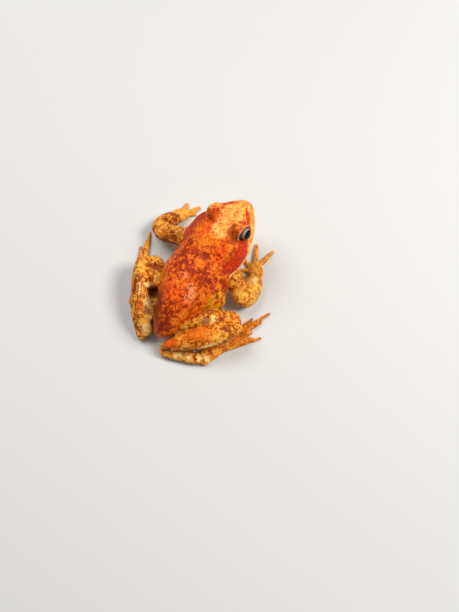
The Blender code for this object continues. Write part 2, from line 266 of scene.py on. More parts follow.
class Shader:
    """Puts nodes into a tree, each with its inputs given by name as values, numbers or colours."""

    def __init__(self, tree):
        self.tree = tree

    def feed(self, socket, value):
        if isinstance(value, Value):
            self.tree.links.new(value.socket, socket)
        else:
            socket.default_value = value

    def node(self, kind, inputs=None, **settings):
        node = self.tree.nodes.new(kind)
        for name, setting in settings.items():
            setattr(node, name, setting)
        for name, value in (inputs or {}).items():
            self.feed(node.inputs[name], value)
        return node

    def value(self, kind, output, inputs=None, **settings):
        return Value(self, self.node(kind, inputs, **settings).outputs[output])

    def place(self):
        return self.value("ShaderNodeTexCoord", "Object")

    def field(self, name):
        return self.value("ShaderNodeAttribute", "Fac", attribute_name=name)

    def cloud(self, place, scale, detail, roughness, distortion):
        """Soft noise.  Its scale is in lumps to the metre."""
        inputs = {"Vector": place, "Scale": scale, "Detail": detail}
        inputs |= {"Roughness": roughness, "Distortion": distortion}
        return self.value("ShaderNodeTexNoise", 0, inputs)

    def maths(self, operation, first, second=0.0, clamp=False):
        return self.value("ShaderNodeMath", 0, {0: first, 1: second}, operation=operation, use_clamp=clamp)

    def steps(self, value, low, high):
        """0 up to low and 1 from high, with a soft edge.  low may be the larger one."""
        inputs = {"Value": value, "From Min": low, "From Max": high}
        return self.value("ShaderNodeMapRange", 0, inputs, interpolation_type="SMOOTHSTEP")

    def mix(self, share, first, second):
        return self.value("ShaderNodeMix", 2, {0: share, 6: first, 7: second}, data_type="RGBA")

    def surface(self, inputs):
        """The Principled surface that the material shows."""
        surface = self.value("ShaderNodeBsdfPrincipled", 0, inputs)
        self.node("ShaderNodeOutputMaterial", {"Surface": surface})


def new_material(name):
    material = bpy.data.materials.new(name)
    material.use_nodes = True
    material.node_tree.nodes.clear()
    return material, Shader(material.node_tree)


def rgba(colour):
    return (*colour, 1.0)


# ---- Settings ----


def setting(kind, name, description, default, **more):
    return kind(name=name, description=description, default=default, **more)


def colour_setting(*words):
    return setting(FloatVectorProperty, *words, subtype="COLOR", min=0.0, max=1.0, size=3)


def size_setting(*words):
    return setting(FloatProperty, *words, min=0.0, unit="LENGTH")


class FrogShapeSettings(bpy.types.PropertyGroup):
    voxel: size_setting("Voxel", "Grain of the remesh that makes the skin", 0.28 * MM)
    triangles: setting(IntProperty, "Triangles", "Most triangles in the skin", 194000)
    body_smoothing: setting(IntProperty, "Body smoothing", "Passes that round off trunk and head", 46)
    limb_smoothing: setting(IntProperty, "Limb smoothing", "Passes that round off the limbs", 30)
    digit_smoothing: setting(IntProperty, "Digit smoothing", "Passes on the thin fingers and toes", 8)
    lid_rim: size_setting("Lid rim", "Height of the rim of the eyelids", 0.32 * MM)
    lip_groove: size_setting("Mouth line", "Depth of the line of the mouth", 0.42 * MM)
    fold_height: size_setting("Side folds", "Height of the folds along the back", 0.42 * MM)
    wart_height: size_setting("Warts", "Height of the small warts on flanks and limbs", 0.11 * MM)


class FrogColourSettings(bpy.types.PropertyGroup):
    back_dark: colour_setting("Back, dark", "Dark mottling of the back", (0.27, 0.020, 0.001))
    back: colour_setting("Back", "Ground of the back", (0.74, 0.086, 0.002))
    back_light: colour_setting("Back, light", "Pale mottling of the back", (0.95, 0.25, 0.012))
    limb_dark: colour_setting("Limbs, dark", "Dark mottling of the limbs", (0.20, 0.028, 0.001))
    limb: colour_setting("Limbs", "Ground of the limbs", (0.80, 0.225, 0.012))
    limb_light: colour_setting("Limbs, light", "Pale mottling of the limbs", (0.98, 0.50, 0.075))
    head_dark: colour_setting("Head, dark", "Dark mottling of snout and crown", (0.74, 0.14, 0.012))
    head: colour_setting("Head", "Ground of snout and crown", (0.95, 0.32, 0.045))
    head_light: colour_setting("Head, light", "Pale mottling of snout and crown", (0.98, 0.54, 0.15))
    orange: colour_setting("Orange", "Upper face of the right shank", (0.84, 0.17, 0.004))
    red: colour_setting("Red", "Reddest patches of neck and hump", (0.95, 0.085, 0.002))
    # Pink is a painted highlight on the hump, the right shank and the wrist.
    pink: colour_setting("Pink", "Worn patch on the hump", (0.96, 0.33, 0.12))
    cream: colour_setting("Cream", "Lips and the pale blotches of the legs", (0.99, 0.68, 0.24))
    yellow: colour_setting("Yellow", "Flanks and groin", (0.90, 0.42, 0.012))
    lid: colour_setting("Lid", "Upper eyelids", (0.42, 0.070, 0.003))
    mask: colour_setting("Mask", "The mask from eye to shoulder", (0.50, 0.018, 0.001))
    # Rust is also painted shade: beside the folds of the back, in the folds of the wrist and on the rump.
    rust: colour_setting("Rust", "Bars of the limbs and marks on the back", (0.23, 0.018, 0.002))
    # Brown is also the painted shade in folds and hollows.
    brown: colour_setting("Brown", "Specks, and the bottoms of folds", (0.10, 0.014, 0.002))
    violet: colour_setting("Violet", "Greyish bars of thighs and shanks", (0.33, 0.14, 0.085))
    rim: colour_setting("Rim", "Pale edge of the upper eyelids", (0.98, 0.66, 0.40))
    belly: colour_setting("Belly", "Underside", (0.84, 0.55, 0.26))


class FrogEyeSettings(bpy.types.PropertyGroup):
    # The upper iris is pale gold, tinted lilac as a painted reflection of the sky.
    gold: colour_setting("Iris", "Upper part of the iris", (0.48, 0.36, 0.31))
    ring: colour_setting("Ring", "Gold ring round the pupil", (0.62, 0.36, 0.10))
    bronze: colour_setting("Lower iris", "Lower part of the iris", (0.06, 0.022, 0.008))
    dark: colour_setting("Pupil", "Pupil and rim", (0.004, 0.003, 0.003))
    pupil_half_width: size_setting("Pupil width", "Half the width of the pupil", 1.75 * MM)
    pupil_half_height: size_setting("Pupil height", "Half the height of the pupil", 1.4 * MM)
    bulge: size_setting("Cornea", "How far the cornea bulges", 0.22 * MM)


class FrogStageSettings(bpy.types.PropertyGroup):
    floor: colour_setting("Floor", "Colour of the floor", (0.66, 0.65, 0.63))
    key: setting(FloatProperty, "Key light", "Power of the key light", 3.0, unit="POWER")
    fill: setting(FloatProperty, "Fill light", "Power of the fill light", 1.75, unit="POWER")
    sky: setting(FloatProperty, "Sky", "Strength of the even light from all round", 0.22)
    backdrop: setting(FloatProperty, "Backdrop", "Brightness of what shows past the floor", 0.86)
    glow: setting(FloatProperty, "Far floor", "Glow that keeps the far floor pale", 0.66)
    lens: setting(FloatProperty, "Lens", "Focal length of the camera, in mm", 36.47)


# ---- Skin: form ----

LID_RADIUS = EYE_RADIUS + 0.4  # the lids' outer face
CLOSE_UNDER, CLOSE_OVERLAP = 0.42, 0.07  # cuts narrower than this are closed, with this much overlap
CAPSULE_ROUNDS, CAPSULE_TAPER = 20, 0.4  # segments of a capsule, and how much thinner its end is

# Webs and flesh between the toes: start, end, half width and half height.
WEBS = (
    ((-20.4, 2.6, 1.5), (-28.4, 14.6, 0.9), 1.5, 0.75),
    ((-19.6, 0.4, 1.6), (-29.4, 7.4, 0.9), 1.1, 0.75),
    ((-19.5, 1.5, 1), (-27.5, 9.5, 0.45), 2.6, 0.35),
    ((19.2, 5.4, 1.5), (28, 18.8, 0.9), 1.4, 0.75),
    ((18.4, 3.4, 1), (27, 13.5, 0.45), 2.6, 0.35),
)

# Pads in and beside the lids, in the head's frame: sides, start, end, half width and half height.
LID_PADS = (
    (BOTH, (8, 3.7, 7.35), (12.4, 3.9, 7.2), 2.5, 1.2),
    (LEFT, (12.4, 5.9, 7), (16.4, 4.3, 5.9), 1.7, 0.9),
    (LEFT, (9.4, 6.4, 7.3), (4.6, 6.9, 6.5), 1.7, 0.9),
)


def flesh_copies():
    """A merged copy of each solid of flesh."""
    copies = {}
    for name in FLESH:
        bm = bmesh.new()
        bm.from_mesh(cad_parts[name].data)
        bmesh.ops.remove_doubles(bm, verts=bm.verts, dist=1e-6)
        copies[name] = bm
    return copies


def close_cuts(copies):
    """Moves the two faces of every thin cut towards each other, until they overlap a little."""
    trees = {name: BVHTree.FromBMesh(bm) for name, bm in copies.items()}
    moved = {}
    for name, bm in copies.items():
        for vert in bm.verts:
            hits = [
                tree.find_nearest(vert.co, CLOSE_UNDER * MM)
                for other, tree in trees.items()
                if other != name
            ]
            hits = [hit for hit in hits if hit[0] is not None and hit[3] > 1e-9]
            if hits:
                point, _, _, distance = min(hits, key=lambda hit: hit[3])
                moved[vert] = vert.co + (point - vert.co) * (0.5 + CLOSE_OVERLAP * MM / distance)
    for vert, place in moved.items():
        vert.co = place


def capsule(bm, start, end, half_width, half_height):
    """Adds a flattened capsule that tapers a little, lying level between two places."""
    start, end = as_points((start, end))
    along = end - start
    rounds = CAPSULE_ROUNDS
    made = bmesh.ops.create_uvsphere(bm, u_segments=rounds, v_segments=rounds, radius=1.0)["verts"]
    turn = along.to_track_quat("X", "Z").to_matrix()
    for vert in made:
        share = 0.5 + 0.5 * vert.co.x
        taper = 1 - CAPSULE_TAPER * share
        place = Vector((0, vert.co.y * half_width * taper, vert.co.z * half_height)) * MM
        vert.co = start + along * share + turn @ place


def fill_out(bm):
    """Adds the balls and pads that the lids are shaped from, and the webs of the toes."""
    for sign in BOTH:
        ball = bmesh.ops.create_icosphere(bm, subdivisions=4, radius=LID_RADIUS * MM)["verts"]
        bmesh.ops.translate(bm, vec=as_points(from_head(mirrored(EYE_AT, sign)))[0], verts=ball)
        for signs, start, end, half_width, half_height in LID_PADS:
            if sign in signs:
                capsule(bm, *from_head(mirrored((start, end), sign)), half_width, half_height)
    for web in WEBS:
        capsule(bm, *web)


def without_crumbs(piece):
    """Keeps only the largest connected part of a mesh."""
    bm = bmesh.new()
    bm.from_mesh(piece.data)
    parts, seen = [], set()
    for start in bm.verts:
        if start in seen:
            continue
        seen.add(start)
        part = [start]
        for vert in part:  # which grows meanwhile
            for edge in vert.link_edges:
                other = edge.other_vert(vert)
                if other not in seen:
                    seen.add(other)
                    part.append(other)
        parts.append(part)
    if not parts:
        raise RuntimeError("The remesh left nothing of the skin")
    parts.remove(max(parts, key=len))
    bmesh.ops.delete(bm, geom=[vert for part in parts for vert in part], context="VERTS")
    bm.to_mesh(piece.data)
    bm.free()
    return piece


def make_skin_body(shape):
    """All flesh as one closed mesh of even grain."""
    copies = flesh_copies()
    close_cuts(copies)
    whole = bmesh.new()
    for name, bm in copies.items():
        part = bpy.data.meshes.new(name)
        bm.to_mesh(part)
        bm.free()
        whole.from_mesh(part)
        bpy.data.meshes.remove(part)
    fill_out(whole)
    skin = new_piece("skin", whole)
    remesh = skin.modifiers.new("one skin", "REMESH")
    remesh.mode = "VOXEL"
    remesh.voxel_size = shape.voxel
    return without_crumbs(with_modifiers(skin))


def nearest_nodes(places):
    """For each place, the index in FLESH of the solid that it lies on."""
    verts, faces, owners = [], [], []
    for index, name in enumerate(FLESH):
        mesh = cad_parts[name].data
        first = len(verts)
        verts.extend(vert.co.copy() for vert in mesh.vertices)
        for face in mesh.polygons:
            faces.append([first + i for i in face.vertices])
            owners.append(index)
    tree = BVHTree.FromPolygons(verts, faces)
    return np.array([owners[tree.find_nearest(point)[2]] for point in as_points(places)])


class Neighbours:
    """Averages values over the neighbours of each vertex."""

    def __init__(self, mesh):
        flat = np.empty(len(mesh.edges) * 2, np.int64)
        mesh.edges.foreach_get("vertices", flat)
        self.first, self.second = flat.reshape(-1, 2).T
        self.count = len(mesh.vertices)
        self.degree = np.maximum(np.bincount(flat, minlength=self.count), 1)

    def average(self, values):
        if values.ndim == 1:
            total = np.bincount(self.first, values[self.second], self.count)
            total += np.bincount(self.second, values[self.first], self.count)
            return total / self.degree
        return np.stack([self.average(column) for column in values.T], axis=1)

    def spread(self, values, passes):
        for _ in range(passes):
            values = (values + self.average(values)) / 2
        return values


def smoothing_passes(places, node_index, near, shape):
    """How many smoothing passes each vertex gets: many on the body, few on thin digits and lids."""
    limb, digit = nodes_like(*LIMB_KINDS), nodes_like("hand", "foot")
    passes = (1 - limb) * shape.body_smoothing + (limb - digit) * shape.limb_smoothing
    passes = near.spread((passes + digit * shape.digit_smoothing)[node_index], 12)
    head = in_head(places)
    for sign in BOTH:
        out = np.linalg.norm(head - mirrored(EYE_AT, sign), axis=1)
        passes *= 0.3 + 0.7 * eased(LID_RADIUS + 0.3, LID_RADIUS + 2.0, out)
    return passes


def smoothed(places, near, passes):
    for index in range(int(passes.max()) + 1):
        share = np.clip(passes - index, 0, 1)[:, None] * 0.5
        places = places + share * (near.average(places) - places)
    return places


# Soft moves of the flesh, like a sculptor's grab: middle, reach and move, in millimetres.
GRABS = (
    ((-12.6, 8.6, 11), 5.2, (-1.9, 0.3, 0)),
    ((-22.6, 16.6, 6), 3.6, (1.7, -0.9, 0)),
    ((-21.8, 21.5, 6), 3.4, (0.7, -0.3, 0)),
    ((13.4, -9, 6), 7, (0.5, -0.2, 0)),
    ((9.8, 30.2, 21.6), 3.8, (0.4, -0.1, 0)),
    ((4.6, -12.3, 6.2), 3.4, (-1.3, 0.85, 0)),
    ((6.8, -8.8, 8.6), 2.8, (-0.6, 0.4, 0)),
)

# Hollows between leg and body and behind an arm, carved and then darkened with painted shade: path as
# (left, forward, up), half width, depth.
BEHIND_THIGH = ((11.4, 1.2, 10.4), (10, -0.4, 11.1), (8.4, -1.9, 11.7), (7.1, -3.5, 11.6), (5.4, -6.4, 11.2))
BEHIND_ARM = ((-9.9, 14.6, 18.6), (-11.2, 14.6, 16), (-12, 15, 12.6))
HOLLOWS = ((BEHIND_THIGH, 1.5, 2.6), (BEHIND_ARM, 1.3, 0.7))


def grabbed(places):
    for middle, reach, move in GRABS:
        distance = np.linalg.norm(places - middle, axis=1)
        places = places + hill(distance, reach * 0.7)[:, None] * move
    return places


def hollowed(places, normals):
    for path, width, depth in HOLLOWS:
        distance, share = to_path(places, path)
        sunk = depth * hill(distance, width) * eased(0, 0.15, share) * eased(1, 0.6, share)
        places = places - normals * sunk[:, None]
    return places


# The opening of the eye, as seen from the eyeball's centre: half its width, its turn to the front, and
# for each side its lower and upper edge above the level, in degrees.  The left lid hangs lower.
EYE_OPEN_HALF, EYE_OPEN_TURN = 66.0, 4.0
EYE_OPEN = {1: (-27.0, 44.0), -1: (-27.0, 77.0)}
EYE_OPEN_POWER = 2.7  # 2 makes the opening an oval, and more makes its corners fuller

# Millimetres outside the eyeball: the lids' inner face, the least that they stand out, the depth of the
# furrow behind their rim, how far the skin in the opening sinks, and where the lids end.
LID_GAP, LID_LEAST, LID_FURROW, LID_SINK, LID_ENDS = 0.20, 0.32, 0.2, 0.35, (2.2, 3.4)


def eye_opening(head, sign):
    """For each place, its distance from an eye's centre, how far out it is from the opening (1 is the
    opening's edge), and its way from the centre."""
    out = head - mirrored(EYE_AT, sign)
    distance = np.maximum(np.linalg.norm(out, axis=1), 1e-6)
    low, high = EYE_OPEN[sign]
    rise = turned(np.degrees(np.arctan2(out[:, 2], out[:, 1] * sign)) - (low + high) / 2)
    turn = np.degrees(np.arcsin(out[:, 0] / distance)) - EYE_OPEN_TURN
    power = EYE_OPEN_POWER
    edge = np.abs(turn / EYE_OPEN_HALF) ** power + np.abs(rise * 2 / (high - low)) ** power
    return distance, edge ** (1 / power), out


def with_lids(places, shape):
    """Opens the lids over each eyeball: thick edges that hug it, with a rim and a furrow behind."""
    head = in_head(places)
    low, high = LID_ENDS
    for sign in BOTH:
        distance, edge, out = eye_opening(head, sign)
        near = 1 - eased(EYE_RADIUS + low, EYE_RADIUS + high, distance)
        stand = LID_GAP + np.clip(distance - EYE_RADIUS - LID_GAP, 0, 9) * eased(1.0, 1.75, edge)
        stand += shape.lid_rim / MM * hill(edge - 1.13, 0.09) * (1 - eased(1.3, 1.7, edge))
        stand = np.maximum(stand - LID_FURROW * hill(edge - 1.42, 0.12), LID_LEAST)
        stand = (stand + LID_SINK) * eased(0.97, 1.05, edge) - LID_SINK
        change = (EYE_RADIUS + stand - distance) * near * (1 - eased(1.5, 1.8, edge))
        head = head + out / distance[:, None] * change[:, None]
    return from_head(head)


# Where the grain of the skin is halved: round these places of the head, to this far, and along the lips.
FINE_ROUND = ((EYE_AT, 4.6), (NOSTRIL_AT, 1.7), (EAR_AT, 3.4))
FINE_LIPS = 1.1


def refine(skin):
    """Halves the grain of the skin round the eyes, nostrils, lips and eardrums."""
    bm = bmesh.new()
    bm.from_mesh(skin.data)
    head = in_head(places_of(skin.data))
    fine = (np.abs(head[:, 2]) < FINE_LIPS) & (head[:, 0] > -0.5)
    for sign in BOTH:
        for middle, reach in FINE_ROUND:
            fine |= np.linalg.norm(head - mirrored(middle, sign), axis=1) < reach
    edges = [edge for edge in bm.edges if fine[edge.verts[0].index] and fine[edge.verts[1].index]]
    bmesh.ops.subdivide_edges(bm, edges=edges, cuts=1, use_grid_fill=True)
    bmesh.ops.triangulate(bm, faces=[face for face in bm.faces if len(face.verts) > 4])
    bm.to_mesh(skin.data)
    bm.free()


# Rings, pits and swellings of the head: path in its frame (one place is given twice), radius of the ring,
# height and width.  They are the nostril's rim and hole, the hollow side of the snout, and the gland from
# the corner of the mouth to the shoulder.
HEAD_SHAPES = (
    ((NOSTRIL_AT, NOSTRIL_AT), 0.75, 0.20, 0.34),
    ((NOSTRIL_AT, NOSTRIL_AT), 0, -0.75, 0.42),
    (((13.2, 8.2, 3.6), (18.2, 4.4, 2.6)), 0, -0.35, 1.5),
    (((1.6, 12.4, 0.6), (-1.6, 11.9, 0.5), (-4.6, 10.6, -0.4)), 0, 0.42, 0.9),
)
LIP_HEIGHT, LIP_UNDER = 0.22, 0.10  # of the full upper lip, and of the hollow under the lower one
NECK = (-6.0, -3.0)  # where the relief of the head fades out, in its frame
OFF_LIDS = (1.2, 1.6)  # how far out from an eye's opening relief starts and is full


def head_relief(head, shape):
    """How far each point of the head is raised, in millimetres."""
    forward, left, up = head.T
    # The line of the mouth curves up in the middle of its length.
    line = 0.35 * np.sin(np.clip((forward - 1) / 21, 0, 1) * math.pi) - 0.1
    jaw = eased(0.2, 1.6, forward)
    lift = -shape.lip_groove / MM * hill(up - line, 0.26) * jaw
    lift += LIP_HEIGHT * hill(up - line - 0.85, 0.6) * jaw
    lift -= LIP_UNDER * hill(up - line + 0.7, 0.5) * jaw
    for sign in BOTH:
        for path, radius, height, width in HEAD_SHAPES:
            lift += height * hill(to_path(head, mirrored(path, sign))[0] - radius, width)
        # The eardrum is a sunk disc with a raised ring and a small boss.
        out = np.linalg.norm((head - mirrored(EAR_AT, sign)) * (1, 0.35, 1), axis=1)
        drum = 0.17 * hill(out - EAR_RADIUS, 0.3) + 0.07 * hill(out, 0.5)
        lift += eased(6, 8, left * sign) * (drum - 0.16 * (1 - eased(EAR_RADIUS - 0.6, EAR_RADIUS, out)))
    # The trough between the lids.
    return lift - 0.25 * hill(left, 1.9) * hill(forward - 10.5, 4.2) * eased(5, 7, up)


# Folds along the back: from behind the eye in the head's frame, then over the trunk.
FOLD_HEAD = ((7.6, 8.2, 6.2), (4.2, 8.6, 6.5), (1.0, 8.2, 6.3))
FOLD_TRUNK = ((7, 14.5, 22.6), (6.9, 9, 22.4), (6.4, 3, 21), (5.4, -3, 18.2), (3.8, -8.6, 14.2))
# The long bones on both sides of the back, and the trough over the spine.
HIP, SPINE = ((2.4, 5.0, 23.2), (2.0, -7.5, 17.6)), ((0, 20, 25.6), (0, -9.5, 16.8))
# Wrinkles across the waist and behind the hump: paths as (left, forward, up).
WRINKLES = (
    ((-1.1, 9.3, 23.9), (-3.4, 10.2, 23.7), (-6, 10.5, 22.7), (-8.6, 9.8, 20.8)),
    ((-1.4, 8.4, 23.8), (-3.7, 9.4, 23.5), (-6.2, 9.7, 22.5), (-8.8, 8.9, 20.6)),
    ((-1.8, 7.5, 23.7), (-4, 8.3, 23.3), (-6.6, 8.7, 22.2)),
    ((4.6, 11.6, 23.4), (6.6, 10.8, 22.6), (8.6, 9.2, 20.8)),
    ((-5.6, -3.6, 17.2), (-2, -4.9, 18.2), (1.6, -5, 18.2), (5, -3.8, 17.2)),
    ((-4.6, -6.2, 15.4), (-1, -7.4, 16.4), (3.4, -6.8, 15.6)),
)


def back_relief(places, shape):
    """Folds along the back, and the bones that show through behind the hump."""
    lift = np.zeros(len(places))
    for sign in BOTH:
        fold = np.vstack([from_head(mirrored(FOLD_HEAD, sign)), np.array(FOLD_TRUNK) * (sign, 1, 1)])
        out, share = to_path(places, on_surface(fold, places))
        height = shape.fold_height / MM * (1 - 0.55 * share)
        lift += height * hill(out, 0.55) - 0.16 * hill(out - 1.0, 0.45) * (1 - share)
        out, share = to_path(places, on_surface(np.array(HIP) * (sign, 1, 1), places))
        lift += 0.26 * hill(out, 1.1) * np.sin(share * math.pi)
    for path in WRINKLES:
        out, share = to_path(places, on_surface(path, places))
        lift += (0.07 * hill(out - 0.45, 0.25) - 0.13 * hill(out, 0.22)) * np.sin(share * math.pi)
    out, share = to_path(places, on_surface(SPINE, places))
    return lift - 0.16 * hill(out, 1.2) * np.sin(share * math.pi)


# Folds of the right wrist: paths as (left, forward, up).
WRIST_FOLDS = (
    ((-14.2, 31.3, 2.5), (-14.9, 32, 2.6), (-15.7, 32.4, 2.4), (-16.7, 32.1, 2.5), (-17.8, 31.2, 2.7)),
    ((-14.2, 28.5, 2.8), (-15.6, 28.9, 3.6), (-17, 28.2, 4.5)),
)
WRIST_DEPTH, WRIST_WIDTH = 0.3, 0.32

# Narrow creases across limb segments: kind, shares of the length, depth and width.
CREASES = (
    ("forearm", (0.55, 0.66, 0.77, 0.9), 0.13, 0.22),
    ("upper_arm", (0.62, 0.74), 0.1, 0.22),
    ("tarsus", (0.2, 0.8), 0.12, 0.3),
    ("shank", (0.12, 0.2, 0.86, 0.93), 0.1, 0.24),
)


def limb_relief(places):
    """The folds of a wrist, and the creases of the limbs."""
    lift = np.zeros(len(places))
    for path in WRIST_FOLDS:
        lift -= WRIST_DEPTH * hill(to_path(places, on_surface(path, places))[0], WRIST_WIDTH)
    for side, _ in SIDES:
        for kind, shares, depth, width in CREASES:
            share, angle, out, length = round_limb(places, f"{kind}_{side}")
            near = eased(7.5, 5.5, out)
            for at in shares:
                bend = 0.35 * np.sin(np.radians(angle * 2) + at * 40)
                lift -= depth * hill((share - at) * length + bend, width) * near
    return lift


# How warty each kind of solid is, and the size of the warts and of the patches that they come in.
WARTINESS = {"trunk": 1.0, "thigh": 1.0, "shank": 1.0, "upper_arm": 0.7, "head": 0.35, "lower_jaw": 0.1}
OTHER_WARTINESS, WART_SIZE, WART_PATCH = 0.4, 0.85, 4.0
WART_REACH = 0.42  # how far a wart spreads, in shares of the warts' size
PATCH_SHIFT = Vector((21.9, 9.3, 17.1))  # which stretch of the noise the patches come from


def warty(places, node_index, shape):
    """Small warts and granules: most on the flanks and the upper side of the legs."""
    kinds = [name.removesuffix("_left").removesuffix("_right") for name in FLESH]
    amount = np.array([WARTINESS.get(kind, OTHER_WARTINESS) for kind in kinds])[node_index]
    points = [Vector(place) for place in places.tolist()]
    cells = np.array([noise.voronoi(point / WART_SIZE)[0][0] for point in points])
    grains = np.clip(WART_REACH - cells, 0, 1) / WART_REACH
    patches = [noise.fractal(point / WART_PATCH + PATCH_SHIFT, 1.0, 2.0, 2) for point in points]
    patchy = np.clip(0.45 + 0.55 * np.array(patches), 0, 1)
    return shape.wart_height / MM * amount * patchy * (grains**1.5 - 0.15)


def fuller_digits(places, node_index, near):
    """How far fingers and toes are filled out, in millimetres."""
    digit = near.spread(nodes_like("hand", "foot")[node_index], 8)
    return 0.2 * digit * eased(0.1, 0.8, places[:, 2])


def sculpt(skin, shape):
    """Shapes the even skin into the frog's."""
    near = Neighbours(skin.data)
    places = places_of(skin.data)
    node_index = nearest_nodes(places)
    places = smoothed(places, near, smoothing_passes(places, node_index, near, shape))
    put_places(skin.data, places)
    filled = fuller_digits(places, node_index, near)
    put_places(skin.data, grabbed(places + normals_of(skin.data) * filled[:, None]))
    put_places(skin.data, hollowed(places_of(skin.data), normals_of(skin.data)))
    refine(skin)

    mesh = skin.data
    node_index = nearest_nodes(places_of(mesh))
    put_places(mesh, with_lids(places_of(mesh), shape))
    places, normals = places_of(mesh), normals_of(mesh)
    head = in_head(places)
    lift = head_relief(head, shape) * eased(*NECK, head[:, 0])
    lift += back_relief(places, shape) + limb_relief(places)
    lift += warty(places, node_index, shape)
    for sign in BOTH:
        lift *= eased(*OFF_LIDS, eye_opening(head, sign)[1])
    places = places + normals * lift[:, None]
    places[:, 2] = np.maximum(places[:, 2], 0)
    put_places(mesh, places)
    lighten = skin.modifiers.new("lighten", "DECIMATE")
    lighten.ratio = min(1.0, shape.triangles / triangles_in(mesh))
    return with_modifiers(skin)


# ---- Skin: markings ----

# Marks on the head: kind, sides, path in the head's frame, half widths at its ends, strength.
HEAD_MARKS = (
    ("mask", BOTH, ((8.6, 9, 4.4), (4, 10.6, 3.4), (-1.2, 10.4, 3.4)), (2.3, 3.4), 1),
    ("mask", BOTH, ((5, 11.6, 1.8), (-1.4, 11.4, 1.5)), (1.2, 1.8), 1),
    ("rust", LEFT, ((9.2, 9.8, 3), (5.6, 10.3, 3.6), (2.4, 10.3, 4.2)), (0.9, 1.5), 0.5),
    ("mask", LEFT, ((19.6, 2.4, 4.2), (17.6, 3.7, 5.6), (15.3, 5.3, 6.4)), (0.6, 1.1), 1),
    ("mask", RIGHT, ((18.8, 1.8, 4.9), (16.9, 3.9, 5.7), (14.4, 5.9, 6)), (0.55, 1.1), 1),
    # Painted shadow beside the fold behind each eye.
    ("rust", BOTH, ((6.4, 7.9, 6.4), (2.6, 8.2, 6.2), (-1.8, 7.4, 6.1)), (0.40, 0.30), 0.6),
    ("lid", RIGHT, ((10.9, 2.9, 8.5), (8.8, 3.5, 8.7)), (0.9, 1.6), 1),
    ("lid", RIGHT, ((8.4, 4.6, 8.7), (8.6, 7, 7.9)), (1.9, 1.7), 1),
    ("lid", RIGHT, ((7.6, 5.4, 8), (5.8, 7, 6.7)), (1.7, 0.7), 1),
    ("lid", LEFT, ((9.6, 5.6, 8.9), (7.8, 5, 8.4)), (1.2, 1.6), 0.4),
    ("red", LEFT, ((9.8, 5.4, 9), (9, 4.2, 8.8), (7.2, 5, 8.2)), (1.5, 2), 1),
    ("head", LEFT, ((13.6, 6.8, 7.6), (11.6, 8.2, 7.8)), (2.4, 1.8), 1),
    ("head", BOTH, ((20.8, 0.9, 4), (12, 1, 8), (6.2, 0.8, 8.8)), (5, 2.6), 1),
    ("head", BOTH, ((19.5, 4, 2.4), (13, 9.4, 2.6), (8.6, 11.2, 2)), (3, 1.5), 1),
    ("lip", BOTH, ((21.5, 2.4, 0.9), (14, 9.2, 0.9), (6, 12.4, 0.8), (-3.4, 11.6, 0.3)), (0.7, 0.8), 1),
    ("lip", LEFT, ((9.9, 10.7, 1.5), (7, 11.3, 1.9), (4.6, 11.7, 2.1), (1.6, 11.9, 1.7)), (0.6, 0.9), 1),
    ("light", BOTH, ((6.4, 2.7, 8.6), (3.6, 1.4, 8.8)), (1, 1.4), 0.8),
    ("light", RIGHT, ((5, 1, 8.8), (1.6, 2.6, 8.6)), (1.3, 1.2), 0.9),
    ("light", LEFT, ((0.4, 0.4, 8.7), (-3.6, 2.2, 7)), (1.3, 1.1), 0.9),
    ("red", LEFT, ((5.4, 4.4, 8.2), (1.8, 4.6, 8.2)), (1.7, 1.5), 1),
    ("red", RIGHT, ((2.4, 5, 8), (-1.6, 5.6, 7.4)), (1.8, 2.2), 1),
)

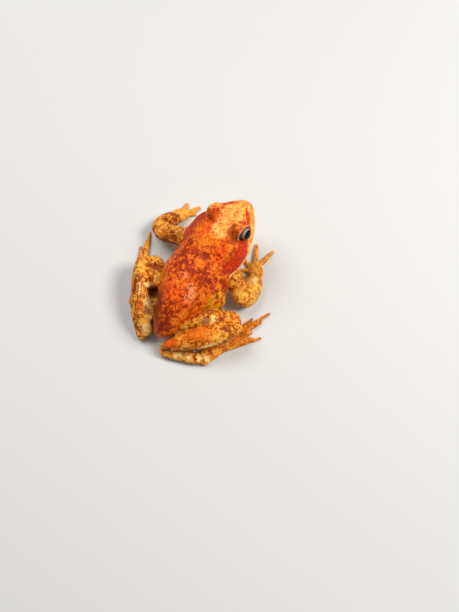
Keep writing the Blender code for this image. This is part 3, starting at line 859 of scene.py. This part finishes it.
# Marks on the back: kind, path as (left, forward, up), half widths at its ends, strength.
BACK_MARKS = (
    ("dark", ((4.6, 16.8, 24), (1.9, 16.1, 24.5), (0.6, 19.4, 25.6)), (1.5, 0.8), 1),
    ("dark", ((6, 14.6, 23), (4, 11.4, 23.7), (4.6, 7.6, 22.8)), (1.7, 1.6), 0.9),
    ("dark", ((-3.4, 15.6, 24), (-3.8, 11.4, 23.8), (-6, 8.8, 22.5)), (0.9, 1.2), 0.9),
    ("dark", ((2.6, 17.6, 24.8), (-1.8, 16.8, 24.7)), (1.8, 1.5), 1),
    ("rust", ((3, 15.8, 24.3), (0.4, 16.8, 24.7)), (0.7, 0.5), 0.55),
    ("rust", ((-1.4, 17.8, 24.9), (-2.6, 15.4, 24.3)), (0.6, 0.5), 0.5),
    ("light", ((-0.7, 14.6, 24.5), (-1, 11.6, 24.2)), (1, 1), 0.8),
    ("light", ((2, 22.6, 25.6), (2.4, 19.6, 24.8)), (5, 3.4), 0.7),
    # Painted shadow beside the right fold of the back.
    ("rust", ((-6.9, 18.8, 23.1), (-6.4, 14.3, 22.8)), (0.30, 0.2), 0.5),
    ("red", ((4.2, 2.4, 21.6), (2.6, -1.4, 21)), (2.4, 2.6), 1),
    ("red", ((-1, 0.6, 22), (-4.8, -0.6, 20)), (2, 1.6), 1),
    # Painted highlight on the hump.
    ("pink", ((2.4, 8.4, 23.8), (0.8, 7.2, 23.6)), (0.9, 1), 0.7),
    ("pink", ((-2.4, 5.4, 23), (-4.3, 3.4, 22.2), (-4.4, 1.4, 21.4)), (1.4, 2.3), 0.9),
    ("dark", ((-1, -2.6, 21), (2, -3.6, 19.6)), (1.2, 1.6), 0.7),
    ("dark", ((5, 9.6, 23.4), (-1.4, 10.6, 24.2), (-7.4, 10.8, 22.2)), (3.2, 3.4), 1),
    ("dark", ((6.6, 19.4, 23.6), (7.6, 12, 21.8)), (1.6, 2), 0.7),
    # Painted shade over the rump, in dark and rust.
    ("dark", ((0.4, -6.5, 18), (5.2, -4, 17), (0, -11, 14)), (3.6, 4.6), 1),
    ("rust", ((6.2, -2.4, 16.6), (3, -8.4, 14)), (2, 3), 0.6),
    ("rust", ((-1.6, -6.8, 16.2), (-0.6, -10.6, 14.6)), (1.6, 2.6), 0.5),
    ("light", ((-4.6, -4.2, 17.2), (-6.2, -2.4, 17)), (0.9, 0.8), 0.7),
    ("yellow", ((-11.3, 10.9, 16.6), (-10.4, 6.9, 16.4), (-10.4, 4.9, 13.4)), (1.7, 2), 1),
    ("yellow", ((-12.8, 11, 12.6), (-12, 7.4, 12)), (2, 2), 1),
    ("yellow", ((11.6, 11, 13.6), (10.6, 6, 14)), (2.4, 2.4), 1),
    ("rust", ((-11.2, 9.2, 17), (-11.5, 8.8, 15.8)), (0.9, 0.7), 1),
    ("rust", ((-13.6, 9.2, 13.2), (-13.2, 9, 11.8)), (0.8, 0.7), 1),
    # Painted shadow in the right armpit.
    ("dark", ((-12.4, 12.2, 14.2), (-11.6, 13.6, 15)), (1, 1.2), 1),
    ("dark", ((-10.4, 13.9, 19), (-11.6, 13.6, 14.4)), (1.8, 2.2), 1),
)

# Marks on limb segments: kind, share along, degrees round from the top, half length in mm, half degrees.
LIMB_MARKS = {
    "thigh_left": (
        ("rust", 0.42, 12, 2.4, 60), ("light", 0.62, 34, 2, 36), ("rust", 0.81, 42, 1.5, 46),
        ("violet", 0.8, 26, 0.9, 20), ("light", 1, 50, 2, 50),
    ),
    "shank_left": (
        ("streak", 0.5, 10, 8, 60), ("rust", 0.1, -8, 1.4, 26), ("light", 0.08, 14, 1.6, 26),
        ("dark", 0.31, -24, 1.4, 26), ("rust", 0.3, -17, 1.1, 14), ("rust", 0.35, 38, 3.6, 9),
        ("cream", 0.37, -4, 1.1, 20), ("cream", 0.6, -13, 2.4, 20), ("violet", 0.71, -22, 1.2, 30),
        ("cream", 0.79, -26, 1.1, 20), ("cream", 0.43, 20, 3.2, 5), ("red", 0.64, 18, 2.2, 14),
        ("dark", 0.45, 46, 4, 26), ("dark", 0.79, 42, 2.6, 26), ("light", 0.86, 0, 4, 70),
        ("light", 0.97, 5, 3, 60), ("cream", 0.92, -6, 1.8, 26),
    ),
    "tarsus_left": (("cream", 0.3, 0, 1.2, 60), ("dark", 0.55, 0, 1, 80), ("cream", 0.8, 0, 1.2, 60)),
    "foot_left": (("dark", 0.2, 0, 1.2, 80),),
    "thigh_right": (
        ("yellow", 0.38, -20, 1.4, 22), ("violet", 0.51, -24, 1.8, 16), ("cream", 0.63, -28, 1.2, 20),
        ("rust", 0.75, -30, 1.1, 13), ("dark", 0.34, 20, 4.2, 40), ("light", 0.7, -10, 3, 12),
        ("red", 0.94, -20, 1.8, 40),
    ),
    "shank_right": (
        # The pink mark at 0.24 is a painted highlight.
        ("rust", 0.1, -26, 0.6, 34), ("rust", 0.15, -14, 1.1, 18), ("pink", 0.24, -2, 0.8, 12),
        ("light", 0.3, -40, 3, 18), ("cream", 0.42, -56, 3.6, 7), ("plain", 0.52, -6, 6, 26),
        ("streak", 0.52, -6, 8, 60), ("orange", 0.5, -4, 7, 50), ("orange", 0.84, -10, 3.4, 50),
        ("red", 0.86, -6, 2.6, 28), ("rust", 1.02, -10, 0.5, 30),
    ),
    "tarsus_right": (
        ("dark", 0.26, 30, 0.9, 70), ("cream", 0.38, 44, 1.3, 40), ("violet", 0.55, 10, 0.8, 70),
        ("cream", 0.7, 30, 1, 40), ("dark", 0.84, 10, 0.8, 80), ("cream", 0.96, 10, 1.2, 60),
        ("light", 0.5, 10, 8, 120),
    ),
    "foot_right": (
        ("rust", 0.13, 0, 0.7, 80), ("cream", 0.05, 50, 1, 60), ("dark", 0.26, 0, 1.2, 60),
        ("red", 0.52, 0, 5, 80), ("dark", 0.75, 0, 9, 140),
    ),
    "upper_arm_left": (
        ("rust", 0.72, -72, 2, 40), ("rust", 0.44, -50, 1.2, 24), ("dark", 0.55, -30, 2, 20),
        ("light", 0.4, 30, 3.4, 50),
    ),
    # The broad dark mark on the left forearm is painted shade over its own dark streaks.
    "forearm_left": (("light", 0, 0, 2.6, 60), ("dark", 0.6, 20, 6, 70)),
    "upper_arm_right": (("dark", 0.45, -60, 2.6, 50), ("light", 0.72, 34, 2.4, 60)),
    "forearm_right": (
        ("light", 0.34, 10, 6.4, 110), ("light", -0.05, 0, 3.4, 110), ("cream", 0.7, 4, 2.2, 34),
        # The pink mark at the wrist is a painted highlight.
        ("pink", 1.04, 0, 1.4, 60),
    ),
}  # fmt: skip
STREAKED = ("shank_left", "shank_right")
KINDS = ("dark", "light", "orange", "red", "pink", "cream", "lip", "yellow", "lid", "mask", "rust", "violet")
KINDS += ("head", "plain", "streak", "rim")
BEHIND_HEAD = -5.5  # where the marks of the head end, in its frame
# Painted shade, in rust, along the folds of the wrist.
FOLD_HALF_WIDTHS, FOLD_STRENGTH = (0.5, 0.4), 0.45  # of the rust in the folds of the wrist
RIM_AT, RIM_HALF = 1.08, 0.1  # the pale edge of a lid, out from the eye's opening
PALE_AHEAD = 15  # digits further forward than this are paler


def path_field(places, path, widths):
    """1 on the middle of a path, 0 at its half width, and less outside."""
    distance, share = to_path(places, np.asarray(path, float))
    return 1 - distance / (widths[0] + (widths[1] - widths[0]) * share)


def limb_field(places, name, share_at, angle_at, half_length, half_angle):
    share, angle, _, length = round_limb(places, name)
    return 1 - np.hypot((share - share_at) * length / half_length, turned(angle - angle_at) / half_angle)


def markings(places, normals, node_index, near):
    """Every kind of marking as a field over the skin, painted shade and highlight among them."""
    head = in_head(places)
    names = np.array(FLESH)[node_index]
    limb, digit, lit_arm = (
        nodes_like(*starts)[node_index]
        for starts in (LIMB_KINDS, ("hand", "foot"), ("upper_arm_right", "forearm_right"))
    )
    on_body, on_head = limb == 0, head[:, 0] > BEHIND_HEAD
    fields = {kind: np.full(len(places), -1.0) for kind in KINDS}

    def put(kind, value, where=True):
        fields[kind] = np.maximum(fields[kind], np.where(where, value, -1))

    def raised(spread):
        """How far the skin round each place stands above it, in millimetres."""
        return ((near.spread(places, spread) - places) * normals).sum(1)

    for kind, signs, path, widths, strength in HEAD_MARKS:
        for sign in signs:
            put(kind, path_field(head, mirrored(path, sign), widths) * strength, on_head & on_body)
    for kind, path, widths, strength in BACK_MARKS:
        put(kind, path_field(places, path, widths) * strength, on_body)
    for name, marks in LIMB_MARKS.items():
        belongs = near.spread((names == name).astype(float), 6) > 0.3
        for kind, *mark in marks:
            put(kind, limb_field(places, name, *mark), belongs)
    # Painted shade along the folds of the wrist.
    for path in WRIST_FOLDS:
        put("rust", path_field(places, on_surface(path, places), FOLD_HALF_WIDTHS) * FOLD_STRENGTH, ~on_body)
    for sign in BOTH:
        _, edge, out = eye_opening(head, sign)
        rim = np.minimum(1 - np.abs(edge - RIM_AT) / RIM_HALF, 2 * eased(0.4, 1.4, out[:, 2]) - 1)
        put("rim", rim, on_head)

    # Digits are plain and pale.  Painted shade darkens the sides and undersides of the limbs, except on the
    # right arm, which is left lit.
    digit = near.spread(digit, 20)
    put("plain", digit * 1.45 - 1)
    put("light", digit * np.where(places[:, 1] < PALE_AHEAD, 0.6, 1.6) - 1)
    fields["limb"] = near.spread(limb, 30)
    shaded = (1 - digit) * (1 - near.spread(lit_arm, 12))
    put("dark", 1.7 * fields["limb"] * shaded * eased(0.6, 0.0, normals[:, 2]) - 1)

    # Where each place is on a streaked limb, in metres along it and round it.
    fields["along"], fields["across"] = np.zeros((2, len(places)))
    for name in STREAKED:
        share, angle, out, length = round_limb(places, name)
        fields["along"] = np.where(names == name, share * length * MM, fields["along"])
        fields["across"] = np.where(names == name, np.radians(angle) * out * MM, fields["across"])

    fields["under"] = eased(-0.25, -0.8, normals[:, 2])
    # Painted shade: how sunk the skin is, widely and narrowly, and in the hollows between leg, arm and body.
    fields["deep"] = near.spread(np.clip(raised(40) / 0.5, 0, 1), 4)
    fields["hollow"] = near.spread(np.clip(raised(6) / 0.12, -1, 1), 2)
    for path, width, depth in HOLLOWS:
        put("hollow", min(1.2, 0.45 * depth) * hill(to_path(places, path)[0], width * 1.3))
    return fields


def keep_fields(mesh, fields):
    for name, values in fields.items():
        attribute = mesh.attributes.new(name, "FLOAT", "POINT")
        attribute.data.foreach_set("value", values.astype(np.float32))


# ---- Skin: material ----

# Clouds of noise in the skin: lumps to the metre, detail, roughness and distortion.
CLOUDS = {
    "broad": (640.0, 4.0, 0.58, 0.5),
    "ragged": (1600.0, 4.0, 0.68, 0.3),
    "fine": (3400.0, 2.0, 0.6, 0.0),
    "veins": (900.0, 3.0, 0.55, 1.2),
    "streaks": (1300.0, 3.0, 0.6, 0.0),
    "grain": (4600.0, 2.0, 0.5, 0.0),
}
GRANULES, BUMP_HEIGHT = 2100.0, 0.24 * MM  # granules to the metre, and how high they look
STRETCH = 0.2  # of the streaks, along a limb
DARK_SHIFT, LIGHT_SHIFT = 0.12, 0.10  # how far those marks move the tone
PALE_TONE, DARK_TONE = (0.51, 0.62), (0.465, 0.365)  # tones where mottling starts and is full

# How a kind of mark is laid on: where its field starts to show and is full, how ragged it is, how dense.
COATS = {
    "orange": (-0.2, 0.5, 1.2, 0.85),
    "red": (-0.3, 0.8, 1.6, 0.75),
    "pink": (-0.3, 0.9, 1.6, 0.7),
    "yellow": (-0.3, 0.6, 2.4, 0.85),
    "cream": (-0.1, 0.5, 1.8, 0.9),
    "lid": (-0.2, 0.4, 0.8, 1.0),
    "violet": (-0.1, 0.5, 1.4, 0.75),
    "mask": (-0.15, 0.45, 1.2, 0.9),
    "rust": (-0.1, 0.6, 1.6, 0.8),
    "rim": (0.0, 1.0, 3.0, 0.5),
    "lip": (-0.05, 0.4, 1.3, 0.9),
}


def skin_material(colours):
    material, shader = new_material("frog_skin")
    place = shader.place()
    along_limb = shader.value(
        "ShaderNodeCombineXYZ", 0, {"X": shader.field("along") * STRETCH, "Y": shader.field("across")}
    )

    def cloud(name, where=place):
        return shader.cloud(where, *CLOUDS[name])

    def held(kind, low, high):
        return shader.steps(shader.field(kind), low, high)

    def edged(kind, low, high, roughness):
        """A mark with its edge broken up by noise."""
        return shader.steps(ragged * roughness + shader.field(kind), low, high)

    def paint(name):
        return rgba(getattr(colours, name))

    def coat(colour, kind, paint_name=None):
        """The colour with a kind of mark laid over it."""
        low, high, roughness, density = COATS[kind]
        return shader.mix(edged(kind, low, high, roughness) * density, colour, paint(paint_name or kind))

    def ground(shade):
        """The dark, middle or pale ground, in the colours of back, limbs or head."""
        colour = shader.mix(limb, paint(f"back{shade}"), paint(f"limb{shade}"))
        return shader.mix(head, colour, paint(f"head{shade}"))

    broad, ragged, fine = cloud("broad"), cloud("ragged") - 0.5, cloud("fine") - 0.5
    veins = shader.maths("ABSOLUTE", cloud("veins") - 0.5)
    streaks = (cloud("streaks", along_limb) - 0.5) * held("streak", -0.1, 0.4)
    limb, head = held("limb", 0.2, 0.8), edged("head", -0.2, 0.6, 1.6)
    mottled = held("plain", 0.0, 1.0) * -0.75 + 1.0
    tone = ragged + broad + fine * 0.45 + streaks * 0.9
    tone = tone + held("light", -0.3, 0.6) * LIGHT_SHIFT - held("dark", -0.3, 0.6) * DARK_SHIFT
    colour = shader.mix(shader.steps(tone, *PALE_TONE) * mottled, ground(""), ground("_light"))
    for kind in ("orange", "red", "pink", "yellow", "cream", "lid"):
        colour = coat(colour, kind)

    # Dark mottling over ground and pale marks alike: soft blotches, a net of veins and small specks.
    net = shader.steps(veins, 0.04, 0.01) * shader.steps(broad, 0.56, 0.46) * (limb * 0.4 + 0.3)
    clear = edged("cream", *COATS["cream"][:3]) * -0.6 + mottled
    blotches = shader.maths("MAXIMUM", shader.steps(tone, *DARK_TONE), net)
    colour = shader.mix(shader.maths("MULTIPLY", blotches, clear, clamp=True), colour, ground("_dark"))
    specks = shader.steps(ragged * 0.4 + fine, 0.13, 0.22) * (limb * 0.2 + 0.2)
    colour = shader.mix(specks, colour, paint("brown"))

    colour = coat(coat(colour, "violet"), "mask")
    glow = held("mask", 0.3, 0.6) * shader.steps(tone, 0.48, 0.66) * 0.7
    colour = shader.mix(glow, colour, paint("red"))
    colour = coat(coat(coat(colour, "rust"), "rim"), "lip", "cream")

    # Painted shade darkens the bottoms of folds and the wide hollows, and the belly is pale.
    colour = shader.mix(held("hollow", 0.1, 0.9) * 0.7, colour, paint("brown"))
    colour = shader.mix(held("deep", 0.1, 0.7) * 0.7, colour, paint("brown"))
    belly = shader.mix(shader.steps(broad, 0.48, 0.68) * 0.6, paint("belly"), paint("limb_light"))
    colour = shader.mix(shader.field("under") * 0.9, colour, belly)

    # Moist skin: granules with finer grain between them, under a thin coat of water.
    granules = shader.value("ShaderNodeTexVoronoi", "Distance", {"Vector": place, "Scale": GRANULES})
    height = cloud("grain") * 0.4 + shader.maths("SUBTRACT", 0.6, granules, clamp=True)
    bump = shader.value("ShaderNodeBump", 0, {"Height": height, "Strength": 0.9, "Distance": BUMP_HEIGHT})
    shader.surface({
        "Base Color": colour,
        "Roughness": shader.steps(broad, 0.4, 0.6) * 0.15 + 0.38,
        "Normal": bump,
        "Specular IOR Level": 0.06,
        "Coat Normal": bump,
        "Coat Weight": 0.22,
        "Coat Roughness": 0.16,
        "Coat IOR": 1.33,
    })  # fmt: skip
    return material


class FROG_OT_skin(bpy.types.Operator):
    """Make one skin from all the flesh, shape it and give it its markings"""

    bl_idname = "frog.skin"
    bl_label = "Skin"

    def execute(self, context):
        shape = context.scene.frog_shape
        skin = sculpt(make_skin_body(shape), shape)
        mesh = skin.data
        if triangles_in(mesh) >= MOST_TRIANGLES:
            raise RuntimeError("The skin has too many triangles: lower its setting")
        places = places_of(mesh)
        keep_fields(mesh, markings(places, normals_of(mesh), nearest_nodes(places), Neighbours(mesh)))
        finished(skin, skin_material(context.scene.frog_colours), "back_skin", *FLESH)
        return {"FINISHED"}


# ---- Eyes ----

GAZE = (0.12, 0.90, 0.40)  # where an eye looks, in the head's frame
CORNEA = (0.62, 0.95)  # where the cornea starts to bulge and does so fully, as cosines from the gaze
OFF_IRIS = (9.0, 9.0)  # the place on the iris, in millimetres, that the eyeball's back is given
IRIS_CLOUD = (2600.0, 4.0, 0.5, 1.2)  # as in CLOUDS
# Radii in millimetres where the iris turns dark outside, as painted shade under the lids, and where its
# rim starts and is black.
IRIS_SHADE, IRIS_RIM = (1.75, 2.45), (2.35, 2.75)
RING, PUPIL = (1.2, 1.08), (1.08, 1.0)  # where the ring and the pupil start and are full, in pupils


def eye_material(eye):
    material, shader = new_material("frog_eye")
    across, over = shader.field("iris_across"), shader.field("iris_over")
    dark = rgba(eye.dark)

    def oval(width, height):
        """How far out each place is on an oval: 1 on its edge."""
        wide, high = across * (1 / width), over * (1 / height)
        return shader.maths("SQRT", wide * wide + high * high)

    out, pupil = oval(1.0, 1.0), oval(eye.pupil_half_width / MM, eye.pupil_half_height / MM)
    # Pale gold with a painted sky reflection above, dark bronze below.
    iris = shader.mix(shader.steps(over, 0.3, 1.7), rgba(eye.bronze), rgba(eye.gold))
    # Painted shade round the outer iris, under the lids.
    iris = shader.mix(shader.steps(out, *IRIS_SHADE) * 0.75, iris, rgba(eye.bronze))
    iris = shader.mix(shader.steps(shader.cloud(shader.place(), *IRIS_CLOUD), 0.49, 0.58), iris, dark)
    iris = shader.mix(shader.steps(pupil, *RING) * 0.55, iris, rgba(eye.ring))
    for radius, edge in ((pupil, PUPIL), (out, IRIS_RIM)):
        iris = shader.mix(shader.steps(radius, *edge), iris, dark)
    shader.surface({
        "Base Color": iris,
        "Roughness": 0.3,
        "Specular IOR Level": 0.0,
        "Coat Weight": 0.7,
        "Coat Roughness": 0.03,
        "Coat IOR": 1.25,
    })  # fmt: skip
    return material


def make_eye(name, sign, eye):
    """An eyeball that bulges at the cornea, with the places on its iris kept for the material."""
    axes = Matrix([list(row) for row in head_axes()])
    centre = Vector(mirrored(EYE_AT, sign))
    gaze = Vector(mirrored(GAZE, sign)).normalized()
    over = (Vector((0, 0, 1)) - gaze * gaze.z).normalized()
    across = over.cross(gaze)
    bm = bmesh.new()
    bmesh.ops.create_uvsphere(bm, u_segments=96, v_segments=64, radius=EYE_RADIUS)
    on_iris = []
    for vert in bm.verts:
        way = vert.co.normalized()
        on_iris.append((way.x * EYE_RADIUS, way.y * EYE_RADIUS) if way.z >= 0 else OFF_IRIS)
        bulge = eye.bulge / MM * float(eased(*CORNEA, way.z))
        out = (across * way.x + over * way.y + gaze * way.z) * (EYE_RADIUS + bulge)
        place = axes.transposed() @ (centre + out) + Vector(HEAD_AT)
        vert.co = Vector((place.x, -place.y, place.z)) * MM
    bmesh.ops.recalc_face_normals(bm, faces=bm.faces)
    piece = new_piece(name, bm)
    keep_fields(piece.data, dict(zip(("iris_across", "iris_over"), np.array(on_iris).T)))
    return piece


class FROG_OT_eyes(bpy.types.Operator):
    """Make the two eyeballs, with iris, pupil and wet cornea"""

    bl_idname = "frog.eyes"
    bl_label = "Eyes"

    def execute(self, context):
        eye = context.scene.frog_eye
        material = eye_material(eye)
        for side, sign in SIDES:
            finished(make_eye(f"eyeball_{side}", sign, eye), material, "eye", f"eye_{side}")
        return {"FINISHED"}


# ---- Stage ----

CAMERA_AT = (-48.6, -54.0, 225.3)
CAMERA_TURN = (18.47, -1.84, -147.58)  # degrees about x, y and z
SENSOR_WIDTH, CLIP = 36.0, (0.005, 20.0)  # of the camera, in millimetres and in metres
FLOOR_HALF, FAR_FLOOR = 1.5, (0.12, 0.85)  # metres: half its side, and where its glow starts and is full
SKY_COLOUR, GLOW_COLOUR = (0.95, 0.97, 1.0), (0.99, 0.98, 0.96)
# Lamps, named as the settings of their power: place, diameter in millimetres, and colour.
LAMPS = {
    "key": ((-300, 230, 470), 260, (1.0, 0.98, 0.95)),
    "fill": ((300, 60, 460), 320, (0.97, 0.98, 1.0)),
}
LIT = (0, 5, 10)  # where the lamps point


class FROG_OT_stage(bpy.types.Operator):
    """Make the floor, the lights and the camera"""

    bl_idname = "frog.stage"
    bl_label = "Stage"

    def execute(self, context):
        scene, stage = context.scene, context.scene.frog_stage
        bm = bmesh.new()
        bmesh.ops.create_grid(bm, x_segments=1, y_segments=1, size=FLOOR_HALF)
        floor = new_piece("floor", bm)
        material, shader = new_material("floor")
        away = shader.value("ShaderNodeVectorMath", "Value", {0: shader.place()}, operation="LENGTH")
        shader.surface({
            "Base Color": rgba(stage.floor),
            "Roughness": 0.9,
            "Emission Color": rgba(GLOW_COLOUR),
            "Emission Strength": shader.steps(away, *FAR_FLOOR) * stage.glow,
        })  # fmt: skip
        floor.data.materials.append(material)

        for name, (at, size, colour) in LAMPS.items():
            data = bpy.data.lights.new(name, "AREA")
            data.shape, data.size = "DISK", size * MM
            data.energy, data.color = getattr(stage, name), colour
            lamp = new_object(name, data)
            lamp.location, target = as_points((at, LIT))
            lamp.rotation_euler = (target - lamp.location).to_track_quat("-Z", "Y").to_euler()

        # What the camera sees of the sky is brighter than its light.
        scene.world = bpy.data.worlds.new("studio")
        scene.world.use_nodes = True
        sky = Shader(scene.world.node_tree)
        background = scene.world.node_tree.nodes["Background"]
        seen = sky.value("ShaderNodeLightPath", "Is Camera Ray")
        sky.feed(background.inputs["Color"], rgba(SKY_COLOUR))
        sky.feed(background.inputs["Strength"], seen * (stage.backdrop - stage.sky) + stage.sky)
        scene.view_settings.view_transform = "Standard"

        data = bpy.data.cameras.new("camera")
        data.lens, data.sensor_width = stage.lens, SENSOR_WIDTH
        data.clip_start, data.clip_end = CLIP
        scene.camera = new_object("camera", data)
        turn = Euler([math.radians(angle) for angle in CAMERA_TURN])
        scene.camera.matrix_world = Matrix.LocRotScale(as_points(CAMERA_AT)[0], turn, None)
        return {"FINISHED"}


# ---- Add-on ----


class FROG_PT_panel(bpy.types.Panel):
    bl_label = "Frog"
    bl_idname = "FROG_PT_panel"
    bl_space_type = "VIEW_3D"
    bl_region_type = "UI"
    bl_category = "Frog"

    def draw(self, context):
        for group, operator in (
            (context.scene.frog_shape, "frog.skin"),
            (context.scene.frog_colours, None),
            (context.scene.frog_eye, "frog.eyes"),
            (context.scene.frog_stage, "frog.stage"),
        ):
            box = self.layout.box()
            for name in group.__annotations__:
                box.prop(group, name)
            if operator:
                box.operator(operator)


SETTINGS = {
    "frog_shape": FrogShapeSettings,
    "frog_colours": FrogColourSettings,
    "frog_eye": FrogEyeSettings,
    "frog_stage": FrogStageSettings,
}
CLASSES = (*SETTINGS.values(), FROG_OT_skin, FROG_OT_eyes, FROG_OT_stage, FROG_PT_panel)


def register():
    for cls in CLASSES:
        bpy.utils.register_class(cls)
    for name, group in SETTINGS.items():
        setattr(bpy.types.Scene, name, PointerProperty(type=group))


def unregister():
    for name in SETTINGS:
        delattr(bpy.types.Scene, name)
    for cls in reversed(CLASSES):
        bpy.utils.unregister_class(cls)


def main():
    register()
    bpy.ops.frog.skin()
    bpy.ops.frog.eyes()
    bpy.ops.frog.stage()


if __name__ == "__main__":
    main()
